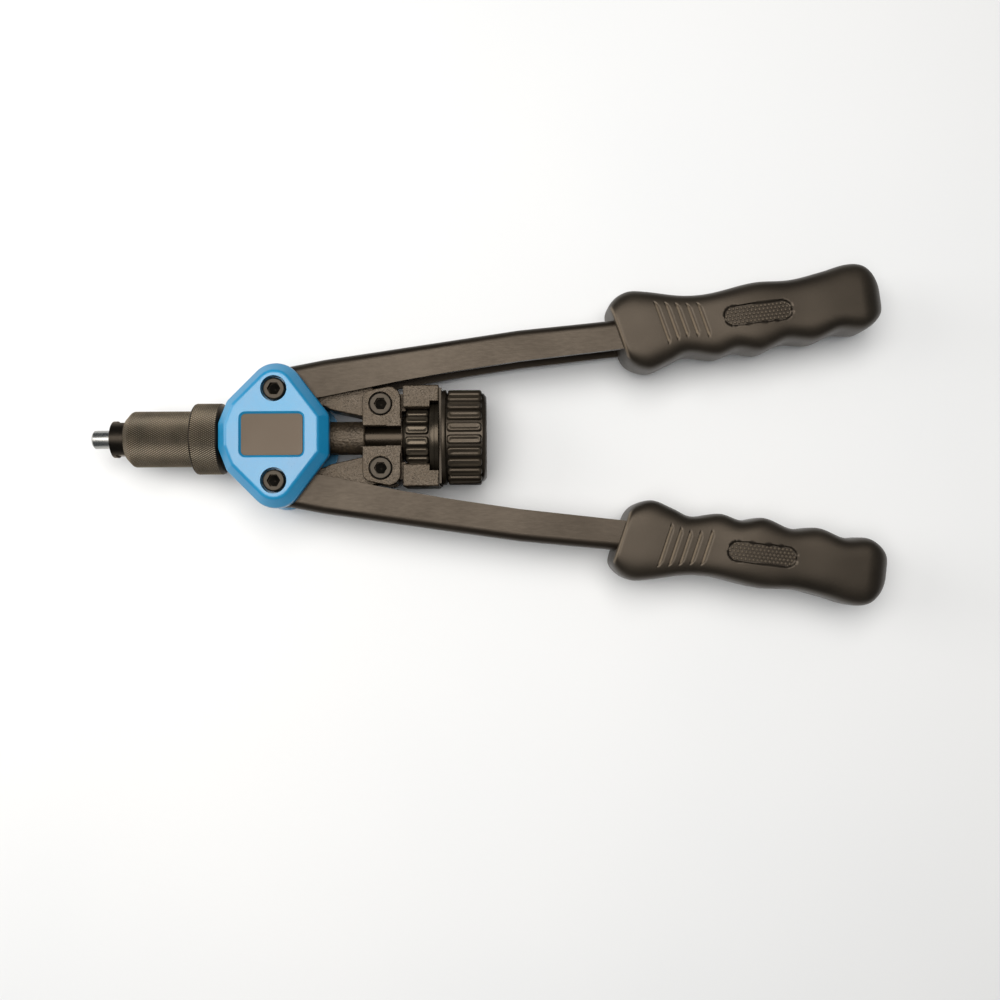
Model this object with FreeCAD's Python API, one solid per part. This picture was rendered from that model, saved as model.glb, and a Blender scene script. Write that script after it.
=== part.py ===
import FreeCAD, Part
import math
import os

# Hand riveter for threaded rivet nuts, closed, lying flat. Millimetres.
# The mandrel axis is X, from the nosepiece face at X = 0 back to the handles. Z is the
# direction of the lever pivots. The tool is the same on both sides of the plane Y = 0.

V = FreeCAD.Vector
AXIS = {"X": V(1, 0, 0), "Y": V(0, 1, 0), "Z": V(0, 0, 1)}

# Lever linkage
PIVOT = V(72.7, 19.35, 0)
LINK_SCREW = V(116.6, 13.8, 0)
CRANK_R = 12.0
CRANK_ANGLE = math.radians(6.5)
CRANK = PIVOT + V(CRANK_R * math.cos(CRANK_ANGLE), CRANK_R * math.sin(CRANK_ANGLE), 0)
BOLT_R = 3.0
BUSH_R = 4.6
CRANK_PIN_R = 2.5
CRANK_HOLE_R = 3.8
LINK_EYE_R = 5.8
SHOULDER_R = 4.0
RUN = 0.06

# Head covers and what they clamp
HEAD_X0 = 48.3
HEAD_X1 = 95.2
HEAD_CORNER_R = 4.4
HEAD_FRONT_HALF = 8.9
HEAD_REAR_HALF = 11.7
HEAD_SHOULDER = (55.8, 12.4)
HEAD_LOBE_R = 11.5
COVER_Z0 = 11.3
COVER_Z1 = 19.5
BEVEL = 4.0
BEVEL_H = 5.0
SOFT_R = 2.2
LABEL_X0 = 59.0
LABEL_X1 = 84.9
LABEL_HALF = 8.8
LABEL_R = 2.0
LABEL_POCKET = 1.5
LABEL_T = 0.9
LABEL_FRAME = 0.9

# Nose
SLEEVE_X0 = 6.0
COLLAR_X0 = 35.5
SLEEVE_R = 12.2
COLLAR_R = 15.5
NECK_R = 9.0
NECK_X1 = 57.5
NOSE_BORE_R = 6.9
NOSEPIECE_R = 8.0
MANDREL_R = 4.0
MANDREL_TIP = -9.0

# Draw mechanism on the axis
BARREL_R = 7.25
BARREL_X0 = 60.0
BARREL_X1 = 109.5
TUBE_R = 5.5
TUBE_X0 = 53.1
TUBE_X1 = 146.0
SHAFT_R = 3.5
CUP_R = 6.5
WHEEL_R = 12.3
WHEEL_X0 = 125.7
FLANGE_R = 15.0
FLANGE_X0 = 137.6
FLANGE_X1 = 141.6
KNOB_R = 20.75
KNOB_X0 = 142.8
KNOB_X1 = 162.1

# Crosshead
CHEEK_X0 = 108.9
CHEEK_X1 = 125.2
CHEEK_Y0 = 4.3
CHEEK_Y1 = 21.2
CHEEK_Z0 = 7.3
CHEEK_Z1 = 10.9
WEB_X1 = 126.9
WEB_Z = 6.2
PRONG_X0 = 126.1
PRONG_X1 = 141.7
PRONG_Y0 = 12.1
PRONG_Y1 = 21.8

# Levers: pressed channels, open towards the axis
ARM_Z = 11.0
ARM_T = 2.5
BEND_R = 3.4
ARM_LOBE_R = 10.4
ARM_INNER = [(81.8, 15.2), (92.5, 17.0), (125.0, 23.5), (146.0, 27.2), (176.0, 31.8), (220.0, 36.9),
             (324.0, 49.3)]
ARM_OUTER = [(324.0, 62.0), (220.0, 50.0), (176.0, 45.6), (92.5, 33.2), (74.1, 29.65)]

# Grips, in the grip's own line: distance along it, and distance out from the axis
GRIP_START = V(218.4, 46.0, 0)
GRIP_DEG = 6.85
GRIP_Z = 13.5
GRIP_OUTER = [(-2, 9), (1, 13.5), (7, 16), (14, 15.2), (30, 11.4), (42, 10.8), (62, 13.2),
              (78, 12.4), (92, 14.2), (104, 16.2), (111, 14.5), (116, 8), (118, -1)]
GRIP_INNER = [(116, -8), (108, -13.5), (97, -12.6), (86, -15.6), (74, -14), (62, -17.3), (52, -15.2),
              (43, -17), (30, -14.4), (22, -17), (13, -19.5), (6, -17), (2.5, -12.5)]


def cylinder(axis, radius, start, end, centre=V()):
    """A round bar along one row axis, between two places on that axis."""
    direction = AXIS[axis]
    return Part.makeCylinder(radius, end - start, centre + direction * start, direction)


def ring(axis, inner, outer, start, end, centre=V()):
    """A round bar with a round hole through it."""
    return cylinder(axis, outer, start, end, centre).cut(cylinder(axis, inner, start - 1, end + 1, centre))


def box(x0, x1, y0, y1, z0, z1):
    return Part.makeBox(x1 - x0, y1 - y0, z1 - z0, V(x0, y0, z0))


def hexagon(axis, flats, start, end, centre=V()):
    """A hexagonal bar, given its width across flats."""
    corner = flats / math.sqrt(3)
    across = AXIS["Y"] if axis == "X" else AXIS["X"]
    third = AXIS[axis].cross(across)
    points = []
    for k in range(7):
        angle = math.radians(60 * k)
        spoke = across * math.cos(angle) + third * math.sin(angle)
        points.append(centre + AXIS[axis] * start + spoke * corner)
    return Part.Face(Part.makePolygon(points)).extrude(AXIS[axis] * (end - start))


def socket(axis, flats, start, end, centre=V()):
    """A hexagon socket with the cone that its drill leaves at the bottom."""
    drill_r, drill_h = 0.49 * flats, 0.3 * flats
    tip = centre + AXIS[axis] * (start - drill_h)
    drill = Part.makeCone(0, drill_r, drill_h + 0.01, tip, AXIS[axis])
    return hexagon(axis, flats, start, end, centre).fuse(drill)


def hull_wire(circles, z, inset=0.0):
    """The belt around circles (x, y, radius) given anticlockwise, at one height."""
    lines = []
    count = len(circles)
    for k in range(count):
        x0, y0, r0 = circles[k]
        x1, y1, r1 = circles[(k + 1) % count]
        span = math.hypot(x1 - x0, y1 - y0)
        ux, uy = (x1 - x0) / span, (y1 - y0) / span
        along = (r0 - r1) / span
        out = math.sqrt(1 - along * along)
        nx, ny = ux * along + uy * out, uy * along - ux * out
        start = V(x0 + nx * (r0 - inset), y0 + ny * (r0 - inset), z)
        end = V(x1 + nx * (r1 - inset), y1 + ny * (r1 - inset), z)
        lines.append((start, end, V(nx, ny, 0)))
    edges = []
    for k in range(count):
        start, end, normal = lines[k]
        edges.append(Part.makeLine(start, end))
        x1, y1, r1 = circles[(k + 1) % count]
        after, _, next_normal = lines[(k + 1) % count]
        turn = (math.atan2(next_normal.y, next_normal.x) - math.atan2(normal.y, normal.x)) % (2 * math.pi)
        half = math.atan2(normal.y, normal.x) + turn / 2
        middle = V(x1 + (r1 - inset) * math.cos(half), y1 + (r1 - inset) * math.sin(half), z)
        edges.append(Part.Arc(end, middle, after).toShape())
    return Part.Wire(edges)


def hull(circles, z0, z1, inset=0.0):
    """A plate with the outline of a belt around circles."""
    return Part.Face(hull_wire(circles, z0, inset)).extrude(V(0, 0, z1 - z0))


def bevelled_hull(circles, z0, z1, bevel, bevel_h):
    """The same plate with its upper edge cut back by bevel over the last bevel_h."""
    shoulder = z1 - bevel_h
    top = Part.makeLoft([hull_wire(circles, shoulder), hull_wire(circles, z1, bevel)], True, True)
    plate = hull(circles, z0, shoulder).fuse(top).removeSplitter()
    plate = plate.makeFillet(SOFT_R, flat_edges(plate, "Z", [shoulder]))
    return plate.makeFillet(SOFT_R, flat_edges(plate, "Z", [z1]))


def polygon(points, z0, z1):
    corners = [V(x, y, z0) for x, y in points]
    return Part.Face(Part.makePolygon(corners + corners[:1])).extrude(V(0, 0, z1 - z0))


def flip(shape, axis):
    """The mirror image across the plane through the origin that an axis is normal to."""
    return shape.mirror(V(), AXIS[axis])


def flat_edges(shape, axis, places):
    """The edges that lie flat across one row axis, at the given places along it."""
    chosen = []
    for edge in shape.Edges:
        bounds = edge.BoundBox
        low = getattr(bounds, axis + "Min")
        if getattr(bounds, axis + "Length") < 0.01 and any(abs(low - place) < 0.01 for place in places):
            chosen.append(edge)
    return chosen


def chamfered(shape, size, places, axis="X"):
    return shape.makeChamfer(size, flat_edges(shape, axis, places))


def rounded(shape, radius, places, axis="Z"):
    return shape.makeFillet(radius, flat_edges(shape, axis, places))


def save(name, *solids):
    """Writes one node: one solid, or several that belong together."""
    shape = solids[0] if len(solids) == 1 else Part.makeCompound(list(solids))
    if not shape.isValid() or shape.Volume <= 0:
        raise ValueError(name + " is not a valid closed solid")
    shape.exportStep("parts/" + name + ".step")


def pivots():
    """The two lever pivots."""
    return [PIVOT, V(PIVOT.x, -PIVOT.y, 0)]


def head_outline():
    """The head's outline, as the circles at its corners and about its two pivots."""
    r = HEAD_CORNER_R
    half = [(HEAD_X1 - r, HEAD_REAR_HALF - r, r), (PIVOT.x, PIVOT.y, HEAD_LOBE_R)]
    half += [HEAD_SHOULDER + (r,), (HEAD_X0 + r, HEAD_FRONT_HALF - r, r)]
    return half + [(x, -y, radius) for x, y, radius in reversed(half)]


def label_outline():
    x0, x1, y = LABEL_X0 + LABEL_R, LABEL_X1 - LABEL_R, LABEL_HALF - LABEL_R
    return [(x0, -y, LABEL_R), (x1, -y, LABEL_R), (x1, y, LABEL_R), (x0, y, LABEL_R)]


def plain_cover():
    """A cover as both sides have it: bolt holes, label pocket and dowel holes."""
    cover = bevelled_hull(head_outline(), COVER_Z0, COVER_Z1, BEVEL, BEVEL_H)
    frame = [hull_wire(label_outline(), COVER_Z1 - LABEL_FRAME)]
    frame.append(hull_wire(label_outline(), COVER_Z1, -LABEL_FRAME))
    cuts = [hull(label_outline(), COVER_Z1 - LABEL_POCKET, COVER_Z1 + 1), Part.makeLoft(frame, True, True)]
    for pivot in pivots():
        cuts.append(cylinder("Z", BOLT_R, 0, 30, pivot))
    for place in dowel_places():
        cuts.append(cylinder("Z", 1.5, 0, COVER_Z0 + 3.0, place))
    return cover.cut(cuts)


def dowel_places():
    return [V(50.8, 0, 0), V(64.0, 0, 0)]


def make_head():
    top = plain_cover()
    bottom = plain_cover()
    for pivot in pivots():
        top = top.cut(cylinder("Z", 5.5, 13.5, 30, pivot))
        bottom = bottom.cut(hexagon("Z", 10.2, 14.0, 30, pivot))
    save("top_cover", top)
    save("bottom_cover", flip(bottom, "Z"))

    floor = COVER_Z1 - LABEL_POCKET
    label = hull(label_outline(), floor, floor + LABEL_T, 0.1)
    save("top_label", label)
    save("bottom_label", flip(label, "Z"))

    bolts = []
    nuts = []
    bushes = []
    washers = []
    for pivot in pivots():
        bolt_head = rounded(cylinder("Z", 4.7, 13.5, 19.0, pivot), 0.8, [19.0])
        bolt = cylinder("Z", BOLT_R, -18.6, 13.6, pivot).fuse(bolt_head)
        bolts.append(bolt.cut(socket("Z", 5.0, 15.8, 20, pivot)))
        nuts.append(hexagon("Z", 10.0, -18.4, -14.0, pivot).cut(cylinder("Z", BOLT_R, -30, 0, pivot)))
        bushes.append(ring("Z", BOLT_R, BUSH_R, -COVER_Z0, COVER_Z0, pivot))
        washers.append(ring("Z", BUSH_R + 0.1, 9.0, ARM_Z + 0.02, COVER_Z0, pivot))
        washers.append(ring("Z", BUSH_R + 0.1, 9.0, -COVER_Z0, -ARM_Z - 0.02, pivot))
    save("pivot_bolts", *bolts)
    save("pivot_nuts", *nuts)
    save("pivot_bushes", *bushes)
    save("pivot_washers", *washers)

    block = hull(head_outline(), -COVER_Z0, COVER_Z0, 1.0).common(box(0, 72, -14, 14, -20, 20))
    cuts = [cylinder("X", NECK_R, 0, NECK_X1), cylinder("X", NOSE_BORE_R, 0, BARREL_X0)]
    cuts.append(cylinder("X", BARREL_R, BARREL_X0, 80))
    for pivot in pivots():
        cuts.append(cylinder("Z", ARM_LOBE_R + 0.5, -20, 20, pivot))
    pins = []
    for place in dowel_places():
        for low, high in ((COVER_Z0 - 1.9, COVER_Z0 + 3.0), (-COVER_Z0 - 3.0, 1.9 - COVER_Z0)):
            pin = cylinder("Z", 1.5, low, high, place)
            pins.append(pin)
            cuts.append(pin)
    save("head_block", block.cut(cuts))
    save("dowel_pins", *pins)

    barrel = ring("X", TUBE_R + RUN, BARREL_R, BARREL_X0, BARREL_X1)
    save("barrel", chamfered(barrel, 0.6, [BARREL_X1]))


def make_nose():
    sleeve = cylinder("X", SLEEVE_R, SLEEVE_X0, COLLAR_X0)
    sleeve = chamfered(sleeve, 3.0, [SLEEVE_X0]).fuse(cylinder("X", NECK_R, COLLAR_X0 - 1, NECK_X1))
    save("nose_sleeve", sleeve.cut(cylinder("X", NOSE_BORE_R, 0, 70)))

    collar = chamfered(cylinder("X", COLLAR_R, COLLAR_X0, HEAD_X0), 0.8, [COLLAR_X0, HEAD_X0])
    save("lock_collar", collar.cut(cylinder("X", NECK_R, 0, 70)))

    nosepiece = cylinder("X", NOSEPIECE_R, 0, SLEEVE_X0).fuse(cylinder("X", NOSE_BORE_R, SLEEVE_X0, 17))
    flats = box(1.5, SLEEVE_X0, 7.0, 9, -9, 9)
    nosepiece = nosepiece.cut([flats, flip(flats, "Y"), cylinder("X", MANDREL_R + 0.03, -1, 20)])
    save("nosepiece", nosepiece)


def make_spindle():
    """The mandrel, and the shaft and knob that spin it and pull on it."""
    thread = chamfered(cylinder("X", MANDREL_R, MANDREL_TIP, 0), 0.7, [MANDREL_TIP])
    shank = cylinder("X", MANDREL_R - 0.3, -0.1, 41.2)
    save("mandrel", thread.fuse([shank, hexagon("X", 8.5, 41.1, 47.5)]))
    save("mandrel_cap", ring("X", MANDREL_R, CUP_R, 34, 41))

    cup = cylinder("X", CUP_R, 41, 53).cut(hexagon("X", 8.7, 40, 48))
    shaft = cup.fuse(cylinder("X", SHAFT_R, 52, 158.4)).cut(cylinder("X", 2.5, 149, 160))
    save("drive_shaft", shaft)
    save("thrust_washer", ring("X", SHAFT_R + 0.05, 5.9, TUBE_X1 + 0.05, 147.2))

    knob = cylinder("X", KNOB_R, KNOB_X0, KNOB_X1)
    knob = chamfered(knob, 0.8, [KNOB_X0])
    knob = chamfered(knob, 2.2, [KNOB_X1])
    cuts = [cylinder("X", 6.4, KNOB_X0 - 1, 147.2), cylinder("X", SHAFT_R, 140, 160)]
    cuts.append(cylinder("X", 6.5, 158.4, 170))
    grooves = 24
    for k in range(grooves):
        angle = 2 * math.pi * k / grooves
        centre = V(0, (KNOB_R + 0.4) * math.cos(angle), (KNOB_R + 0.4) * math.sin(angle))
        cuts.append(cylinder("X", 1.3, KNOB_X0 + 2.6, KNOB_X1 + 1, centre))
    save("rear_knob", knob.cut(cuts))
    screw = cylinder("X", 2.5, 149.5, 158.5).fuse(cylinder("X", 4.25, 158.4, 161.7))
    save("knob_screw", screw.cut(socket("X", 4.0, 159.6, 163)))


def make_tube_and_wheel():
    tube = ring("X", SHAFT_R + RUN, TUBE_R, TUBE_X0, TUBE_X1)
    keyway = box(118.1, 124.8, -1.6, 1.6, -TUBE_R, 1.1 - TUBE_R)
    save("pull_tube", tube.cut(keyway))

    wheel = chamfered(cylinder("X", WHEEL_R, WHEEL_X0, FLANGE_X0), 1.0, [WHEEL_X0])
    grooves = []
    count = 15
    for k in range(count):
        angle = math.pi / 2 + 2 * math.pi * k / count
        centre = V(0, (WHEEL_R + 0.3) * math.cos(angle), (WHEEL_R + 0.3) * math.sin(angle))
        grooves.append(cylinder("X", 1.2, WHEEL_X0 - 1, FLANGE_X0, centre))
    wheel = wheel.cut(grooves).fuse(cylinder("X", FLANGE_R, FLANGE_X0, FLANGE_X1))
    save("stroke_wheel", wheel.cut(cylinder("X", TUBE_R + RUN, 100, 150)))


def cheek_outline():
    return [(CHEEK_X0 + 0.6, CHEEK_Y0 + 0.6, 0.6), (CHEEK_X1 - 0.6, CHEEK_Y0 + 0.6, 0.6),
            (CHEEK_X1 - 5.0, CHEEK_Y1 - 5.0, 5.0), (CHEEK_X0 + 4.0, 15.7, 4.0)]


def make_crosshead():
    """A fork for each link, a hub around the pull tube and a housing for the stroke wheel."""
    side = rounded(hull(cheek_outline(), -CHEEK_Z1, CHEEK_Z1), 0.5, [-CHEEK_Z1, CHEEK_Z1])
    side = side.cut(box(100, LINK_SCREW.x + 6.5, 0, 30, -CHEEK_Z0, CHEEK_Z0))
    prong = box(PRONG_X0, PRONG_X1, PRONG_Y0, PRONG_Y1, -ARM_Z, ARM_Z)
    prong = prong.makeFillet(0.8, prong.Edges)
    pieces = [box(119.0, CHEEK_X1, -7.4, 7.4, -CHEEK_Z1, CHEEK_Z1)]
    pieces.append(box(CHEEK_X1 - 0.5, WEB_X1, -18.5, 18.5, -WEB_Z, WEB_Z))
    pieces += [flip(side, "Y"), prong, flip(prong, "Y")]
    body = side.fuse(pieces).removeSplitter()
    cuts = [cylinder("X", TUBE_R + RUN, 100, 150)]
    cuts.append(box(100, CHEEK_X1, -CHEEK_Y0, CHEEK_Y0, 3.4, 20))
    cuts.append(cylinder("X", WHEEL_R + 0.45, WHEEL_X0 - 0.4, FLANGE_X0))
    cuts.append(cylinder("X", FLANGE_R + 0.4, FLANGE_X0 - 0.1, PRONG_X1 + 1))
    cuts.append(box(FLANGE_X0 - 0.1, PRONG_X1 + 1, -FLANGE_R, FLANGE_R, -20, 20))
    screws = []
    for y in (LINK_SCREW.y, -LINK_SCREW.y):
        centre = V(LINK_SCREW.x, y, 0)
        cuts.append(cylinder("Z", SHOULDER_R, -20, 20, centre))
        cuts.append(cylinder("Z", 5.2, 8.4, 20, centre))
        screw_head = rounded(cylinder("Z", 4.85, 8.4, CHEEK_Z1, centre), 0.7, [CHEEK_Z1])
        screw = cylinder("Z", SHOULDER_R, -CHEEK_Z1, 8.5, centre).fuse(screw_head)
        screws.append(screw.cut(socket("Z", 5.0, 7.4, 12, centre)))
    key = cylinder("Z", 1.5, -10.5, 0.9 - TUBE_R, V(122.4, 0, 0))
    cuts.append(key)

    plate = box(PRONG_X1, PRONG_X1 + 0.9, -20.5, 20.5, -10.5, 10.5)
    plate = plate.cut(cylinder("X", TUBE_R + 0.5, 100, 150))
    plate_screws = []
    for y in (18.6, -18.6):
        for z in (6.0, -6.0):
            centre = V(0, y, z)
            plate_screw = cylinder("X", 1.5, 132, PRONG_X1 + 0.1, centre)
            plate_screw = plate_screw.fuse(cylinder("X", 2.6, PRONG_X1, PRONG_X1 + 0.85, centre))
            plate_screws.append(plate_screw)
    save("crosshead", body.cut(cuts + plate_screws))
    save("retainer_plate", plate.cut(plate_screws))
    save("retainer_screws", *plate_screws)
    save("link_screws", *screws)
    save("tube_key", key)


def is_bend(edge):
    """Whether an edge is one of the long outer ones that the press rounds."""
    bounds = edge.BoundBox
    outer_y = ARM_OUTER[0][1] - 0.115 * (ARM_OUTER[0][0] - edge.CenterOfMass.x)
    return bounds.ZLength < 0.01 and bounds.XLength > 10 and edge.CenterOfMass.y > outer_y - 8


def arm_shape():
    """One lever: a pressed channel with a round lobe about its pivot."""
    lobe = (PIVOT.x, PIVOT.y, ARM_LOBE_R)
    outline = polygon(ARM_INNER + ARM_OUTER, -ARM_Z, ARM_Z)
    body = outline.fuse(cylinder("Z", lobe[2], -ARM_Z, ARM_Z, PIVOT)).removeSplitter()
    body = body.makeFillet(BEND_R, [edge for edge in body.Edges if is_bend(edge)])
    inner_z = ARM_Z - ARM_T
    web = [(x, y - ARM_T * 1.01) for x, y in ARM_OUTER]
    web[0] = (330.0, web[0][1])
    cavity_points = [(330.0, 30.0)] + web[:-1] + [(73.0, web[-1][1]), (55.0, 29.0), (55.0, 0.0)]
    cavity = polygon(cavity_points, -inner_z, inner_z)
    holes = [cylinder("Z", BUSH_R + RUN, -20, 20, PIVOT), cylinder("Z", CRANK_PIN_R, -20, 20, CRANK)]
    return body.cut([cavity] + holes)


def grip_points(inset):
    """The grip's outline in the row frame, drawn in by inset."""
    along = V(math.cos(math.radians(GRIP_DEG)), math.sin(math.radians(GRIP_DEG)), 0)
    out = V(-along.y, along.x, 0)
    points = []
    for u, v in GRIP_OUTER + GRIP_INNER:
        place = GRIP_START + along * (58 + (u - 58) * (1 - inset / 60)) + out * (v - math.copysign(inset, v))
        points.append((place.x, place.y))
    return points


def grip_shape():
    shoulder = GRIP_Z - 4.0
    body = polygon(grip_points(0), -shoulder, shoulder)
    for sign in (1, -1):
        wires = []
        for z, inset in ((shoulder, 0), (GRIP_Z, 3.5)):
            corners = [V(x, y, sign * z) for x, y in grip_points(inset)]
            wires.append(Part.makePolygon(corners + corners[:1]))
        body = body.fuse(Part.makeLoft(wires, True, True))
    return body.removeSplitter()


def make_levers():
    arm = arm_shape()
    grip = grip_shape().cut(arm)
    pin = cylinder("Z", CRANK_PIN_R, -ARM_Z, ARM_Z, CRANK)
    spacers = [ring("Z", CRANK_PIN_R, 4.6, 7.05, ARM_Z - ARM_T, CRANK)]
    spacers.append(flip(spacers[0], "Z"))
    nodes = {"arm": [arm], "grip": [grip], "crank_pin": [pin], "spacers": spacers}
    nodes["link"] = [link_shape()]
    nodes["link_bush"] = [ring("Z", SHOULDER_R + RUN, 5.0, -7.0, 7.0, LINK_SCREW)]
    for name, solids in nodes.items():
        save("upper_" + name, *solids)
        save("lower_" + name, *[flip(solid, "Y") for solid in solids])


def link_shape():
    """The thick link from a lever's crank pin to the crosshead."""
    run = (CRANK - LINK_SCREW).normalize()
    near = LINK_SCREW + run * 7
    far = LINK_SCREW + run * 20
    eyes = hull([(CRANK.x, CRANK.y, LINK_EYE_R), (LINK_SCREW.x, LINK_SCREW.y, 6.0)], -7.0, 7.0)
    waist = hull([(far.x, far.y, 6.6), (near.x, near.y, 6.6)], -7.0, 7.0)
    holes = [cylinder("Z", 5.0, -20, 20, LINK_SCREW), cylinder("Z", CRANK_HOLE_R, -20, 20, CRANK)]
    return rounded(eyes.fuse(waist).removeSplitter(), 0.6, [-7.0, 7.0]).cut(holes)


def main():
    os.makedirs("parts", exist_ok=True)
    make_head()
    make_nose()
    make_spindle()
    make_tube_and_wheel()
    make_crosshead()
    make_levers()


main()
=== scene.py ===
import math

import bpy
import numpy as np
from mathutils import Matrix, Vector


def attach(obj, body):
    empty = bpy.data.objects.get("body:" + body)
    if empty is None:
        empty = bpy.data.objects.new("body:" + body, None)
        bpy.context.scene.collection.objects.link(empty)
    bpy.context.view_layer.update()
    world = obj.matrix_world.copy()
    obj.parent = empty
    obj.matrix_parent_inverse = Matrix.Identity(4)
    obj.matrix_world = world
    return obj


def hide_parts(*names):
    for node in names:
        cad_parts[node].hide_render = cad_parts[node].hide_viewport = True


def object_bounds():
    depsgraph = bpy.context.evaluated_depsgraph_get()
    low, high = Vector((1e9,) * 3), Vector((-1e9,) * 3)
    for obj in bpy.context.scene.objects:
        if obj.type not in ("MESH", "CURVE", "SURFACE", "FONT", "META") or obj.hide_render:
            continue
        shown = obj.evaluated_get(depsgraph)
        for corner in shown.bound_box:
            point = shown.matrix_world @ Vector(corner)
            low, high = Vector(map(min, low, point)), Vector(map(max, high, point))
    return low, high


# Hand riveter for rivet nuts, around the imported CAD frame. Lengths below are in millimetres and
# become metres in metres(). X is the mandrel axis, Z the direction of the lever pivots.

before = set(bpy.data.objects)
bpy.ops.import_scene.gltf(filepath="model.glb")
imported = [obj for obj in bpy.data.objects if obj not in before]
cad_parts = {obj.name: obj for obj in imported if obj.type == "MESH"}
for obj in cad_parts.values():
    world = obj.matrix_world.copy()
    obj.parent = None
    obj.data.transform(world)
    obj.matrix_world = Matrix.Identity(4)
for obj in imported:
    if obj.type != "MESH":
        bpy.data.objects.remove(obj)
cad_low, cad_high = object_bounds()
scene = bpy.context.scene
MM = 0.001

# Nose
SLEEVE_X0, COLLAR_X0, HEAD_X0 = 6.0, 35.5, 48.3
SLEEVE_R, COLLAR_R, NECK_R, NOSE_BORE_R = 12.2, 15.5, 9.0, 6.9
NECK_X1 = 57.5
KNURL_LONG, KNURL_WIDE, KNURL_DEEP = 0.79, 0.48, 0.3

# Stroke wheel and rear knob
WHEEL_X0, FLANGE_X0, FLANGE_X1 = 125.7, 137.6, 141.6
WHEEL_R, WHEEL_ROOT_R, FLANGE_R, TUBE_BORE_R = 12.3, 10.7, 15.0, 5.56
WHEEL_PADS = 15
KNOB_X0, KNOB_X1 = 142.8, 162.1
KNOB_R, KNOB_ROOT_R = 20.75, 19.35
KNOB_PADS = 24

# Grips, in the grip's own line: distance along it, and distance out from the axis
GRIP_START = (218.4, 46.0)
GRIP_DEG = 6.85
GRIP_Z = 13.5
GRIP_MID = -1.0
GRIP_SLANT = math.tan(math.radians(12.3))
GRIP_OUTER = [(-2, 9), (1, 13.5), (7, 16), (14, 15.2), (30, 11.4), (42, 10.8), (62, 13.2),
              (78, 12.4), (92, 14.2), (104, 16.2), (111, 14.5), (116, 8), (118, -1)]
GRIP_INNER = [(116, -8), (108, -13.5), (97, -12.6), (86, -15.6), (74, -14), (62, -17.3), (52, -15.2),
              (43, -17), (30, -14.4), (22, -17), (13, -19.5), (6, -17), (2.5, -12.5)]
GRIP_U0 = -2 + GRIP_SLANT * (9 - GRIP_MID)
LIP_R = 1.6
# Each groove: its place along the grip, and how far out and in it reaches
GROOVES = [(19.0, 9.2, -10.3), (23.4, 8.4, -9.2), (27.7, 7.6, -8.4), (32.2, 6.8, -8.6),
           (36.8, 6.5, -9.5)]
GROOVE_DEEP = 1.2
GROOVE_RAMP = 1.45
# How far ahead of its place a groove starts, the length of its wall, and of its faded ends
GROOVE_LEAD, GROOVE_WALL, GROOVE_END = 0.25, 0.3, 2.4
HEEL_U0, HEEL_LONG, HEEL_POWER = 106.0, 12.0, 2.3
MOUTH_ROWS = (0.0, 0.03, 0.1, 0.22, 0.4, 0.65, 0.95, 1.3, 1.7, 2.3, 3.2, 4.2, 5.2)
GROOVE_ROWS = (-0.4, -0.26, -0.17, -0.08, 0.0, 0.08, 0.22, 0.45, 0.75, 1.1, 1.4, 1.6, 2.3, 3.3)
FACE_POWER = 4.4
# Painted light on the grips: the plain level of the rubber's colour factor, and the painted highlight on
# groove lips and the mouth edge.
RUBBER_PLAIN_LEVEL, LIP_HIGHLIGHT = 0.05, 0.88
PATCH_CENTRE = (61.0, -1.5)
PATCH_LONG, PATCH_WIDE, PATCH_DEEP = 30.0, 9.0, 0.8
DOT_PITCH, DOT_R, DOT_H = 1.72, 0.66, 0.72


# ---------------------------------------------------------------- meshes

def metres(points):
    return [tuple(float(c) * MM for c in p) for p in points]


def piece(name, points, faces, body, replaced=(), sharp=30.0, painted_light=None):
    """A mesh object that rides on a body. Edges sharper than the given angle stay crisp.
    Each point's value paints light into its colour, from 0, painted shade in a groove, to 1, a painted
    highlight on a crest."""
    mesh = bpy.data.meshes.new(name)
    mesh.from_pydata(metres(points), [], faces)
    # Per-point painted light: painted shade in grooves, painted highlight on crests.
    layer = mesh.attributes.new("painted_light", "FLOAT", "POINT")
    light_level = np.full(len(points), 0.5) if painted_light is None else np.array(painted_light, float)
    layer.data.foreach_set("value", light_level)
    made = bpy.data.objects.new(name, mesh)
    scene.collection.objects.link(made)
    mesh.shade_smooth()
    mesh.set_sharp_from_angle(angle=math.radians(sharp))
    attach(made, body)
    if replaced:
        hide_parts(*replaced)
    return made


def turned(profile, columns, radius):
    """The points of a closed profile (x, r) turned about the X axis, one row per profile point."""
    points = []
    for i, (x, r) in enumerate(profile):
        for j in range(columns):
            angle = 2 * math.pi * j / columns
            here = radius(i, j, x, r)
            points.append((x, here * math.cos(angle), here * math.sin(angle)))
    return points


def ring_faces(rows, columns, closed=True):
    """Quads between neighbouring rows of a turned grid."""
    faces = []
    for i in range(rows if closed else rows - 1):
        k = (i + 1) % rows
        for j in range(columns):
            n = (j + 1) % columns
            faces.append((i * columns + j, i * columns + n, k * columns + n, k * columns + j))
    return faces


def knurl_faces(rows, columns, first, last):
    """As ring_faces, but knurled rows are split along their valleys, so each peak is a pyramid."""
    faces = []
    for i in range(rows):
        k = (i + 1) % rows
        for j in range(columns):
            n = (j + 1) % columns
            a, b, c, d = i * columns + j, i * columns + n, k * columns + n, k * columns + j
            if not first <= i < last:
                faces.append((a, b, c, d))
            elif (i + j) % 2 == 0:
                faces += [(a, b, d), (b, c, d)]
            else:
                faces += [(a, b, c), (a, c, d)]
    return faces


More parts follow.
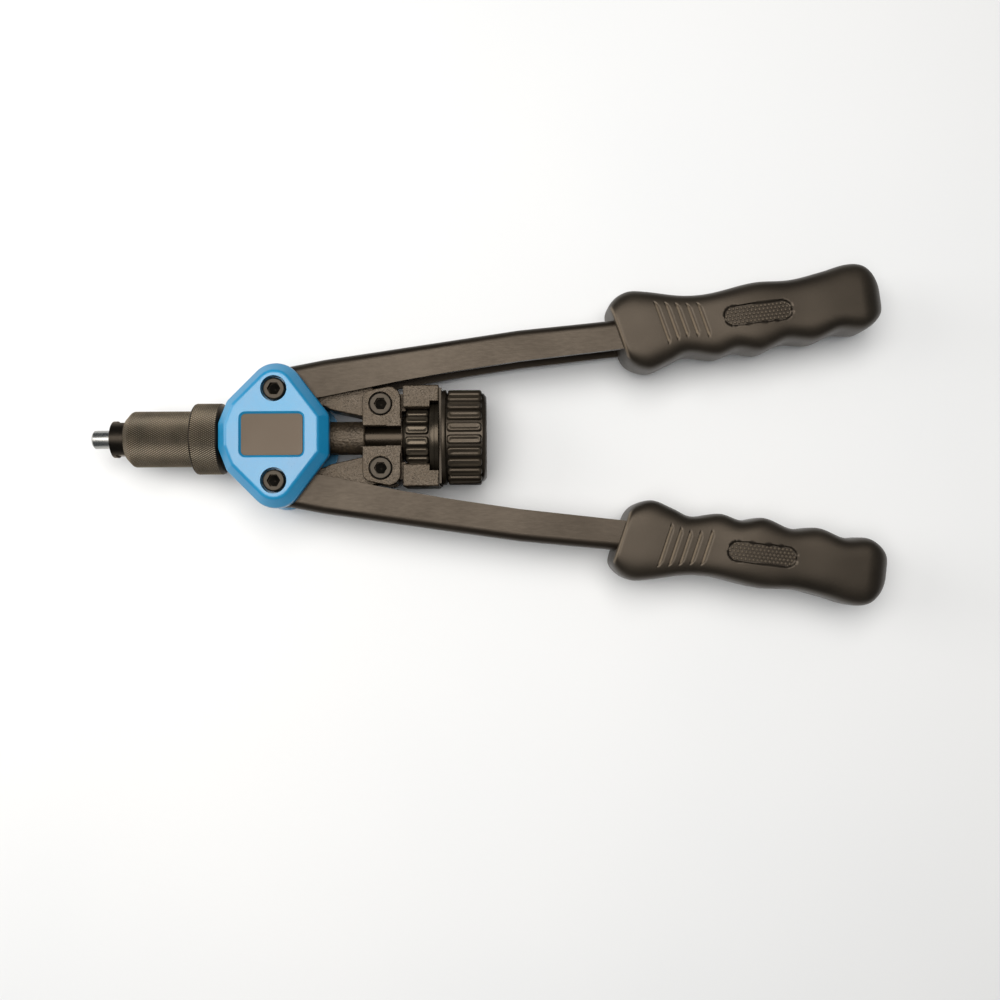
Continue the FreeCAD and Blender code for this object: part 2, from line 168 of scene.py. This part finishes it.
def knurled(name, body, replaced, before, track, after):
    """A turned part whose outer track is diamond knurled, between its plain profile points."""
    lengths = [math.dist(track[k], track[k + 1]) for k in range(len(track) - 1)]
    total = sum(lengths)
    count = max(2, round(total / KNURL_LONG))
    stations = np.linspace(0, total, count + 1)
    marks = np.concatenate([[0.0], np.cumsum(lengths)])
    xs = np.interp(stations, marks, [p[0] for p in track])
    rs = np.interp(stations, marks, [p[1] for p in track])
    profile = before + list(zip(xs, rs)) + after
    first, last = len(before), len(before) + count
    columns = 2 * round(math.pi * max(rs) / KNURL_WIDE)

    def radius(i, j, x, r):
        if not first <= i <= last:
            return r
        if i in (first, last):
            return r - 0.8 * KNURL_DEEP
        return r - (KNURL_DEEP if (i + j) % 2 else 0.0)

    points = turned(profile, columns, radius)
    faces = knurl_faces(len(profile), columns, first, last)
    # Knurl peaks get 1, a painted highlight; valleys and the plain rows get 0, painted shade.
    painted_light = [float(first < i < last and (i + j) % 2 == 0)
            for i in range(len(profile)) for j in range(columns)]
    return piece(name, points, faces, body, replaced, 12.0, painted_light)


def inside_pad(along, across, long, wide, corner):
    """How far inside a rounded rectangle a point lies, negative outside it."""
    dx = abs(along) - (long / 2 - corner)
    dy = abs(across) - (wide / 2 - corner)
    return corner - math.hypot(max(dx, 0.0), max(dy, 0.0)) - min(max(dx, dy), 0.0)


def padded_rim(r_root, r_top, pads, x0, x1, gap, corner, soft, dip):
    """The radius of a rim with raised rounded pads around it, as a function of place and angle."""
    def radius(x, angle):
        pitch = 2 * math.pi / pads
        off = (angle - math.pi / 2) % pitch - pitch / 2
        wide = pitch * r_top - gap
        deep = inside_pad(x - (x0 + x1) / 2, off * r_top, x1 - x0, wide, corner)
        if deep <= 0:
            return r_root
        if deep < soft:
            return r_root + (r_top - r_root) * math.sqrt(1 - (1 - deep / soft) ** 2)
        middle = min(1.0, (deep - soft) / (wide / 2 - soft))
        return r_top - dip * (3 - 2 * middle) * middle ** 2
    return radius


def rimmed(name, body, replaced, profile, columns, rim, sharp):
    """A turned part whose marked rows follow the padded rim."""
    points, painted_light = [], []
    heights = [rim(x, 2 * math.pi * j / columns)
               for x, _, on_rim in profile if on_rim for j in range(columns)]
    low, high = min(heights), max(heights)
    for x, r, on_rim in profile:
        for j in range(columns):
            angle = 2 * math.pi * j / columns
            here = rim(x, angle) if on_rim else r
            points.append((x, here * math.cos(angle), here * math.sin(angle)))
            # Painted shade at the pad roots and a painted highlight on the pad tops, from the rim height.
            painted_light.append((here - low) / (high - low) if on_rim else 0.5)
    faces = ring_faces(len(profile), columns)
    return piece(name, points, faces, body, replaced, sharp, painted_light)


def eased(x):
    x = min(1.0, max(0.0, x))
    return x * x * (3 - 2 * x)


# ---------------------------------------------------------------- nose and knob

def build_nose():
    track = [(SLEEVE_X0 + 0.05, 9.1), (9.0, SLEEVE_R), (COLLAR_X0 - 0.15, SLEEVE_R)]
    before = [(NECK_X1, NOSE_BORE_R), (SLEEVE_X0 + 0.4, NOSE_BORE_R), (SLEEVE_X0, NOSE_BORE_R + 0.4),
              (SLEEVE_X0, 8.6)]
    after = [(COLLAR_X0 - 0.1, 11.2), (COLLAR_X0 - 0.1, NECK_R), (NECK_X1, NECK_R)]
    knurled("knurled_sleeve", "head", ["nose_sleeve"], before, track, after)

    track = [(COLLAR_X0 + 0.55, COLLAR_R), (HEAD_X0 - 0.9, COLLAR_R)]
    before = [(HEAD_X0, NECK_R + 0.05), (COLLAR_X0, NECK_R + 0.05), (COLLAR_X0, 14.2),
              (COLLAR_X0 + 0.12, 14.7)]
    after = [(HEAD_X0 - 0.35, 14.7), (HEAD_X0 - 0.02, 14.2)]
    knurled("knurled_collar", "head", ["lock_collar"], before, track, after)


def build_wheel():
    pad_x0, pad_x1 = 127.1, 137.2
    rim = padded_rim(WHEEL_ROOT_R, WHEEL_R, WHEEL_PADS, pad_x0, pad_x1, 1.05, 1.5, 0.75, 0.3)
    profile = [(FLANGE_X1, TUBE_BORE_R), (WHEEL_X0, TUBE_BORE_R), (WHEEL_X0, 8.2), (WHEEL_X0 + 0.12, 8.6),
               (WHEEL_X0 + 0.4, 9.3), (WHEEL_X0 + 0.7, 9.9), (WHEEL_X0 + 1.0, 10.4)]
    profile = [(x, r, False) for x, r in profile]
    near = [-0.15, 0.0, 0.1, 0.25, 0.4, 0.6, 0.85, 1.15, 1.5, 1.9, 2.5, 3.3]
    places = [pad_x0 + d for d in near] + [131.2, 132.2, 133.1]
    places += [pad_x1 - d for d in reversed(near)] + [FLANGE_X0]
    profile += [(x, WHEEL_ROOT_R, True) for x in places]
    flange = [(FLANGE_X0, 14.5), (FLANGE_X0 + 0.12, 14.85), (FLANGE_X0 + 0.4, FLANGE_R),
              (139.5, FLANGE_R), (139.6, 14.8), (139.8, 14.8), (139.9, FLANGE_R),
              (FLANGE_X1 - 0.3, FLANGE_R), (FLANGE_X1, 14.7)]
    profile += [(x, r, False) for x, r in flange]
    rimmed("stroke_wheel_pads", "stroke_wheel", ["stroke_wheel"], profile,
           WHEEL_PADS * 24, rim, 38.0)


def build_knob():
    pad_x0, pad_x1 = 145.2, 160.0
    rim = padded_rim(KNOB_ROOT_R, KNOB_R, KNOB_PADS, pad_x0, pad_x1, 1.15, 1.7, 0.9, 0.3)
    profile = [(147.2, 3.55), (147.2, 6.4), (143.1, 6.4), (KNOB_X0, 6.7), (KNOB_X0, 20.2),
               (KNOB_X0 + 0.06, 20.45), (KNOB_X0 + 0.2, 20.62), (KNOB_X0 + 0.45, 20.7), (144.3, 20.7),
               (144.45, 20.62), (144.55, 20.45), (144.62, 20.1), (144.7, 19.8), (144.9, 19.6)]
    profile = [(x, r, False) for x, r in profile]
    near = [-0.2, 0.0, 0.08, 0.2, 0.35, 0.55, 0.8, 1.1, 1.5, 2.0, 2.7, 3.8]
    places = [pad_x0 + d for d in near] + [151.0, 153.0, 155.0] + [pad_x1 - d for d in reversed(near)]
    profile += [(x, KNOB_ROOT_R, True) for x in places]
    rear = [(160.6, 19.2), (161.1, 18.85), (161.7, 18.1), (162.0, 17.5), (KNOB_X1, 16.9), (KNOB_X1, 15.4),
            (161.8, 14.6), (161.3, 13.9), (161.1, 13.2), (161.1, 9.4), (161.2, 8.8), (161.7, 8.3),
            (161.8, 7.9), (161.8, 6.9), (161.6, 6.5), (158.4, 6.5), (158.4, 3.55)]
    profile += [(x, r, False) for x, r in rear]
    rimmed("ribbed_knob", "spindle", ["rear_knob"], profile,
           KNOB_PADS * 20, rim, 40.0)


# ---------------------------------------------------------------- grips

def grip_curves():
    """The outline's outer and inner sides as dense (u, v) tables, smooth through their stations."""
    loop = np.array(GRIP_OUTER + GRIP_INNER, float)
    count = len(loop)
    spans = np.linalg.norm(np.roll(loop, -1, 0) - loop, axis=1)
    places = np.arange(0, 1, 0.05)
    points = []
    for k in range(count):
        a, b = loop[k], loop[(k + 1) % count]
        before, after = loop[k - 1], loop[(k + 2) % count]
        ta = (b - before) / (spans[k] + spans[k - 1])
        tb = (after - a) / (spans[k] + spans[(k + 1) % count])
        for t in places:
            h00, h10 = 2 * t ** 3 - 3 * t ** 2 + 1, t ** 3 - 2 * t ** 2 + t
            h01, h11 = 3 * t ** 2 - 2 * t ** 3, t ** 3 - t ** 2
            points.append(h00 * a + h10 * spans[k] * ta + h01 * b + h11 * spans[k] * tb)
    points = np.array(points)
    turn = (len(GRIP_OUTER) - 1) * len(places)
    front = (count - 1) * len(places)
    outer = points[: turn + 1]
    inner = points[turn: front + 1][::-1]
    return outer, inner


OUTER, INNER = grip_curves()


def side(table, u):
    return float(np.interp(u, np.maximum.accumulate(table[:, 0]), table[:, 1]))


def slant(u):
    return GRIP_SLANT * (1 - eased((u - 42.0) / 56.0))


def row_ends(u):
    """Where the slanted section through the middle line at u meets the grip's two sides."""
    k = slant(u)
    ends = []
    for table, v in ((OUTER, 9.0), (INNER, -12.5)):
        for _ in range(30):
            v = 0.5 * v + 0.5 * side(table, u - k * (v - GRIP_MID))
        ends.append(v)
    return ends


def grip_height(u):
    """Half the grip's thickness: rounded at the mouth and the heel, a little waisted between."""
    mouth = min(1.0, max(0.0, (u - GRIP_U0) / LIP_R))
    lip = GRIP_Z - LIP_R + LIP_R * math.sqrt(1 - (1 - mouth) ** 2)
    waist = 0.7 * math.exp(-((u - 36) / 14.0) ** 2) + 0.3 * math.exp(-((u - 78) / 12.0) ** 2)
    heel = max(0.0, (u - HEEL_U0) / HEEL_LONG)
    return (lip - waist) * max(0.0, 1 - heel ** HEEL_POWER) ** (1 / HEEL_POWER)


def groove_cut(u, v):
    """The five saw-tooth grooves: a steep wall on the nose side, then a ramp back up.
    Returns the share of the full depth, and a painted light value from -1, painted shade on the wall, to
    1, a painted highlight on the lip."""
    deep, shade = 0.0, 0.0
    for place, high, low in GROOVES:
        ends = eased((high - v) / GROOVE_END) * eased((v - low) / GROOVE_END)
        off = u - place
        ramp = GROOVE_RAMP * (0.4 + 0.6 * ends)
        if off <= -GROOVE_LEAD or off >= ramp or ends <= 0:
            continue
        wall = eased((off + GROOVE_LEAD) / GROOVE_WALL)
        deep = ends * wall * (1 - max(0.0, off) / ramp) ** 0.8
        shade = -ends if off < 0.15 else ends * math.exp(-((off - 0.6) / 0.42) ** 2)
    return deep, shade


def in_patch(u, v):
    """How far inside the dotted oval a point lies."""
    along = max(0.0, abs(u - PATCH_CENTRE[0]) - (PATCH_LONG - PATCH_WIDE) / 2)
    return PATCH_WIDE / 2 - math.hypot(along, v - PATCH_CENTRE[1])


def crown(u, v, ends):
    """The height of the grip's face before its details are cut."""
    reach = (ends[0] if v > GRIP_MID else ends[1]) - GRIP_MID
    a = min(1.0, abs((v - GRIP_MID) / reach))
    return grip_height(u) * max(0.0, 1 - a ** FACE_POWER) ** (1 / FACE_POWER)


def grip_place(u, v, z, flip):
    turn = math.radians(GRIP_DEG)
    x = GRIP_START[0] + u * math.cos(turn) - v * math.sin(turn)
    y = GRIP_START[1] + u * math.sin(turn) + v * math.cos(turn)
    return (x, -y if flip else y, z)


def grip_rows():
    rows = [GRIP_U0 + d for d in MOUTH_ROWS]
    rows += list(np.arange(6.2, 17.6, 0.9))
    for place, _, _ in GROOVES:
        rows += [place + d for d in GROOVE_ROWS]
    rows += list(np.arange(40.6, 43.4, 0.8))
    rows += list(np.arange(43.8, 75.4, 0.4))
    rows += list(np.arange(76.0, 104, 0.8))
    heel = 14.0
    rows += [118.0 - heel * (1 - math.sin(t)) for t in np.linspace(0.06, math.pi / 2 - 0.035, 26)]
    return rows


def build_grip(name, body, replaced, flip):
    half = 40
    columns = 4 * half
    points, painted_light = [], []
    rows = grip_rows()
    for u in rows:
        ends = row_ends(u)
        k = slant(u)
        for j in range(columns):
            top = j <= 2 * half
            t = (j - half) / half if top else (3 * half - j) / half
            a = math.sin(t * math.pi / 2)
            reach = ends[0] - GRIP_MID if a > 0 else GRIP_MID - ends[1]
            v = GRIP_MID + a * reach
            z = crown(u, v, ends)
            real_u = u - k * (v - GRIP_MID)
            cut, shade = groove_cut(u, v)
            sunk = eased(in_patch(real_u, v) / 0.3)
            lip = math.exp(-((u - GRIP_U0 - 0.5) / 0.4) ** 2) if abs(a) < 0.9 else 0.0
            if abs(a) < 0.97:
                z -= GROOVE_DEEP * cut + PATCH_DEEP * sunk
            points.append(grip_place(real_u, v, z if top else -z, flip))
            # Painted shade on groove walls and the sunk oval floor; painted highlight on groove lips and
            # along the mouth edge.
            plain = RUBBER_PLAIN_LEVEL * (1 - sunk) * (1 + min(0.0, shade))
            painted_light.append(plain + LIP_HIGHLIGHT * max(shade, 0.6 * lip, 0.0))
    faces = ring_faces(len(rows), columns, closed=False)
    faces.append(tuple(range(columns))[::-1])
    faces.append(tuple(len(points) - columns + j for j in range(columns)))
    if not flip:
        faces = [f[::-1] for f in faces]
    return piece(name, points, faces, body, replaced, 50.0, painted_light)


def build_dots(name, body, flip):
    """Small domes over the floor of both of a grip's ovals."""
    points, faces = [], []
    row_step = DOT_PITCH * math.sqrt(3) / 2
    rows = int(PATCH_WIDE / row_step / 2) + 1
    count = int(PATCH_LONG / DOT_PITCH / 2) + 1
    for i in range(-rows, rows + 1):
        for j in range(-count, count + 1):
            u = PATCH_CENTRE[0] + (j + 0.5 * (i % 2)) * DOT_PITCH
            v = PATCH_CENTRE[1] + i * row_step
            if in_patch(u, v) < 0.72:
                continue
            floor = crown(u, v, row_ends(u)) - PATCH_DEEP - 0.02
            for face_side in (1, -1):
                add_dome(points, faces, u, v, floor, face_side, flip)
    # The domes get a painted highlight, four times the plain rubber level.
    painted_light = np.full(len(points), 4 * RUBBER_PLAIN_LEVEL)
    return piece(name, points, faces, body, (), 60.0, painted_light)


def add_dome(points, faces, u, v, floor, face_side, flip):
    base = len(points)
    around = 8
    for r, h in ((1.0, 0.0), (0.94, 0.84), (0.76, 1.0)):
        for k in range(around):
            angle = 2 * math.pi * k / around
            place = (u + DOT_R * r * math.cos(angle), v + DOT_R * r * math.sin(angle))
            points.append(grip_place(place[0], place[1], face_side * (floor + DOT_H * h), flip))
    points.append(grip_place(u, v, face_side * (floor + DOT_H), flip))
    turned_over = flip != (face_side < 0)
    made = [tuple(base + k for k in range(around))[::-1]]
    for level in (0, 1):
        for k in range(around):
            n = (k + 1) % around
            low, high = base + level * around, base + (level + 1) * around
            made.append((low + k, low + n, high + n, high + k))
    ring, peak = base + 2 * around, base + 3 * around
    made += [(ring + k, ring + (k + 1) % around, peak) for k in range(around)]
    faces += [f[::-1] for f in made] if turned_over else made


# ---------------------------------------------------------------- materials

def linear(r, g, b):
    return tuple(((c / 255 + 0.055) / 1.055) ** 2.4 for c in (r, g, b)) + (1.0,)


def material(name, dark, light, patch, rough, grain, depth, metallic=0.0, coat=0.0, coat_rough=0.2,
             speckle=0.0, stretch=(1, 1, 1), pits=0.0, specular=0.5, tinge=(1, 1, 1), shade_to_highlight=None):
    """A procedural finish: slow colour variation, fine grain in colour, roughness and relief.
    The last argument gives the colour factors for painted shade in a piece's grooves and a painted
    highlight on its crests."""
    made = bpy.data.materials.new(name)
    made.use_nodes = True
    tree = made.node_tree
    nodes, links = tree.nodes, tree.links
    shader = nodes["Principled BSDF"]
    place = nodes.new("ShaderNodeTexCoord")
    mapping = nodes.new("ShaderNodeMapping")
    mapping.inputs["Scale"].default_value = stretch
    links.new(place.outputs["Object"], mapping.inputs["Vector"])

    def noise(scale, detail, roughness=0.5, mapped=True):
        node = nodes.new("ShaderNodeTexNoise")
        node.inputs["Scale"].default_value = scale
        node.inputs["Detail"].default_value = detail
        node.inputs["Roughness"].default_value = roughness
        source = mapping.outputs["Vector"] if mapped else place.outputs["Object"]
        links.new(source, node.inputs["Vector"])
        return node.outputs["Fac"]

    def remap(source, low, high, to_low, to_high):
        node = nodes.new("ShaderNodeMapRange")
        values = {"From Min": low, "From Max": high, "To Min": to_low, "To Max": to_high}
        for key, value in values.items():
            node.inputs[key].default_value = value
        links.new(source, node.inputs["Value"])
        return node.outputs["Result"]

    slow = noise(patch, 3.0, mapped=False)
    fine = noise(grain, 2.5, 0.6)
    ramp = nodes.new("ShaderNodeValToRGB")
    ramp.color_ramp.elements[0].position = 0.32
    ramp.color_ramp.elements[0].color = dark
    ramp.color_ramp.elements[1].position = 0.68
    ramp.color_ramp.elements[1].color = light
    links.new(slow, ramp.inputs["Fac"])
    tint = nodes.new("ShaderNodeMixRGB")
    tint.blend_type = "MULTIPLY"
    tint.inputs["Fac"].default_value = 1.0
    links.new(ramp.outputs["Color"], tint.inputs["Color1"])
    links.new(remap(fine, 0.3, 0.7, 1.0 - speckle, 1.0 + speckle), tint.inputs["Color2"])
    colour = tint.outputs["Color"]
    # Painted light: a per-point attribute scales the colour, from painted shade in grooves to a painted
    # highlight on crests.
    if shade_to_highlight:
        light_level = nodes.new("ShaderNodeAttribute")
        light_level.attribute_name = "painted_light"
        shaded_colour = nodes.new("ShaderNodeMixRGB")
        shaded_colour.blend_type = "MULTIPLY"
        shaded_colour.inputs["Fac"].default_value = 1.0
        links.new(colour, shaded_colour.inputs["Color1"])
        links.new(remap(light_level.outputs["Fac"], 0.0, 1.0, shade_to_highlight[0], shade_to_highlight[1]), shaded_colour.inputs["Color2"])
        colour = shaded_colour.outputs["Color"]
    links.new(colour, shader.inputs["Base Color"])

    mixed = nodes.new("ShaderNodeMath")
    mixed.operation = "ADD"
    links.new(remap(slow, 0.3, 0.7, rough[0], rough[1]), mixed.inputs[0])
    links.new(remap(fine, 0.3, 0.7, -0.04, 0.04), mixed.inputs[1])
    links.new(mixed.outputs["Value"], shader.inputs["Roughness"])

    bump = nodes.new("ShaderNodeBump")
    bump.inputs["Strength"].default_value = 1.0
    bump.inputs["Distance"].default_value = depth * MM
    links.new(fine, bump.inputs["Height"])
    normal = bump.outputs["Normal"]
    if pits:
        cells = nodes.new("ShaderNodeTexVoronoi")
        cells.inputs["Scale"].default_value = grain * 0.55
        links.new(mapping.outputs["Vector"], cells.inputs["Vector"])
        pitted = nodes.new("ShaderNodeBump")
        pitted.inputs["Strength"].default_value = 1.0
        pitted.inputs["Distance"].default_value = pits * MM
        links.new(cells.outputs["Distance"], pitted.inputs["Height"])
        links.new(normal, pitted.inputs["Normal"])
        normal = pitted.outputs["Normal"]
    links.new(normal, shader.inputs["Normal"])
    shader.inputs["Metallic"].default_value = metallic
    shader.inputs["Specular IOR Level"].default_value = specular
    shader.inputs["Specular Tint"].default_value = tuple(tinge) + (1.0,)
    shader.inputs["Coat Weight"].default_value = coat
    shader.inputs["Coat Roughness"].default_value = coat_rough
    return made


WARM = (1.0, 0.83, 0.66)


def build_materials():
    # The last pair on the oxide, wheel, rubber and knob finishes is the colour range from painted shade
    # to painted highlight.
    return {
        "blue": material("blue_enamel", linear(14, 118, 164), linear(20, 130, 176), 45, (0.30, 0.40),
                         900, 0.012, coat=0.35, coat_rough=0.16, speckle=0.04),
        "label": material("label_black", linear(46, 38, 31), linear(52, 43, 35), 60, (0.42, 0.48),
                          2600, 0.010, speckle=0.08, specular=0.56, tinge=WARM),
        "arm": material("lever_black", linear(16, 12, 8), linear(24, 19, 14), 35, (0.34, 0.46),
                        1400, 0.012, speckle=0.10, stretch=(0.25, 1, 1), specular=0.43, tinge=WARM),
        "cast": material("sandy_black", linear(34, 28, 21), linear(50, 42, 32), 120, (0.36, 0.48),
                         1250, 0.40, speckle=0.8, pits=0.12, specular=0.74, tinge=WARM),
        "oxide": material("black_oxide", linear(50, 46, 39), linear(64, 58, 49), 90, (0.36, 0.48),
                          1800, 0.012, metallic=0.5, speckle=0.18, tinge=WARM, shade_to_highlight=(0.05, 6.5)),
        "bright_oxide": material("wheel_oxide", linear(38, 34, 28), linear(50, 45, 38), 90, (0.26, 0.38),
                                 1800, 0.012, metallic=0.5, speckle=0.18, tinge=WARM, shade_to_highlight=(0.15, 2.2)),
        "screw": material("screw_black", linear(20, 19, 17), linear(34, 32, 28), 200, (0.30, 0.42),
                          2200, 0.008, metallic=0.5, speckle=0.3, tinge=WARM),
        "tube": material("draw_tube_black", linear(24, 20, 15), linear(32, 27, 21), 70, (0.24, 0.32),
                         1800, 0.006, metallic=0.5, speckle=0.12, stretch=(4, 1, 1), tinge=WARM),
        "steel": material("ground_steel", linear(150, 150, 148), linear(176, 175, 170), 80, (0.24, 0.36),
                          1600, 0.006, metallic=1.0, speckle=0.1, stretch=(6, 1, 1)),
        "bronze": material("bush_bronze", linear(132, 92, 48), linear(156, 112, 62), 120, (0.30, 0.42),
                           1800, 0.006, metallic=1.0, speckle=0.1),
        "rubber": material("grip_rubber", linear(20, 17, 13), linear(28, 24, 19), 40, (0.38, 0.48),
                           1700, 0.018, speckle=0.14, specular=0.56, tinge=WARM, shade_to_highlight=(0.02, 20.0)),
        "knob": material("knob_plastic", linear(28, 24, 19), linear(38, 33, 26), 60, (0.32, 0.42),
                         1500, 0.03, speckle=0.14, specular=0.42, tinge=WARM, shade_to_highlight=(0.3, 1.5)),
    }


FINISH = {
    "blue": ["top_cover", "bottom_cover"],
    "label": ["top_label", "bottom_label"],
    "arm": ["upper_arm", "lower_arm"],
    "cast": ["head_block", "barrel", "upper_link", "lower_link", "crosshead"],
    "oxide": ["nose_sleeve", "lock_collar", "knurled_sleeve", "knurled_collar"],
    "bright_oxide": ["nosepiece", "stroke_wheel", "stroke_wheel_pads"],
    "screw": ["pivot_bolts", "pivot_nuts", "link_screws", "retainer_screws", "tube_key", "knob_screw",
              "upper_crank_pin", "lower_crank_pin", "dowel_pins", "retainer_plate"],
    "tube": ["pull_tube"],
    "steel": ["mandrel", "mandrel_cap", "drive_shaft", "upper_spacers", "lower_spacers", "pivot_washers"],
    "bronze": ["pivot_bushes", "thrust_washer", "upper_link_bush", "lower_link_bush"],
    "rubber": ["upper_grip", "lower_grip", "upper_grip_cover", "lower_grip_cover", "upper_grip_dots",
               "lower_grip_dots"],
    "knob": ["rear_knob", "ribbed_knob"],
}


def paint():
    made = build_materials()
    for finish, names in FINISH.items():
        for name in names:
            mesh = bpy.data.objects[name].data
            mesh.materials.clear()
            mesh.materials.append(made[finish])
            for polygon in mesh.polygons:
                polygon.material_index = 0


# ---------------------------------------------------------------- stage

def build_floor():
    low = min(cad_low.z, -KNOB_R * MM) - 0.0002
    size, count = 3.0, 24
    points, faces = [], []
    for i in range(count + 1):
        for j in range(count + 1):
            points.append((size * (i / count - 0.5), size * (j / count - 0.5), low))
    for i in range(count):
        for j in range(count):
            a = i * (count + 1) + j
            faces.append((a, a + count + 1, a + count + 2, a + 1))
    mesh = bpy.data.meshes.new("floor")
    mesh.from_pydata(points, [], faces)
    floor = bpy.data.objects.new("floor", mesh)
    scene.collection.objects.link(floor)
    mesh.materials.append(material("pale_floor", linear(222, 224, 226), linear(228, 229, 230), 3,
                                   (0.75, 0.8), 400, 0.02))


def area_light(name, place, target, size, power, colour):
    data = bpy.data.lights.new(name, "AREA")
    data.shape = "RECTANGLE"
    data.size, data.size_y = size
    data.energy = power
    data.color = colour
    lamp = bpy.data.objects.new(name, data)
    lamp.location = place
    lamp.rotation_euler = (Vector(target) - Vector(place)).to_track_quat("-Z", "Y").to_euler()
    scene.collection.objects.link(lamp)


def build_light():
    world = bpy.data.worlds.new("studio")
    world.use_nodes = True
    world.node_tree.nodes["Background"].inputs["Color"].default_value = (0.86, 0.93, 1.0, 1.0)
    world.node_tree.nodes["Background"].inputs["Strength"].default_value = 0.14
    scene.world = world
    area_light("overhead", (0.04, 0.12, 1.0), (0.12, 0, 0), (0.9, 0.72), 13.5, (1.0, 0.97, 0.93))
    area_light("left", (-0.75, 0.2, 0.42), (0.15, 0, 0), (0.5, 0.9), 4.5, (1.0, 0.98, 0.95))
    scene.view_settings.view_transform = "Standard"


def build_camera():
    data = bpy.data.cameras.new("camera")
    data.sensor_width = 36.0
    data.lens = 36.93
    data.clip_start = 0.01
    camera = bpy.data.objects.new("camera", data)
    camera.location = (0.1605, -0.0454, 0.4486)
    camera.rotation_euler = (0.0401, -0.0157, -0.0076)
    scene.collection.objects.link(camera)
    scene.camera = camera


build_nose()
build_wheel()
build_knob()
build_grip("upper_grip_cover", "upper_lever", ["upper_grip"], False)
build_grip("lower_grip_cover", "lower_lever", ["lower_grip"], True)
build_dots("upper_grip_dots", "upper_lever", False)
build_dots("lower_grip_dots", "lower_lever", True)
paint()
build_floor()
build_light()
build_camera()
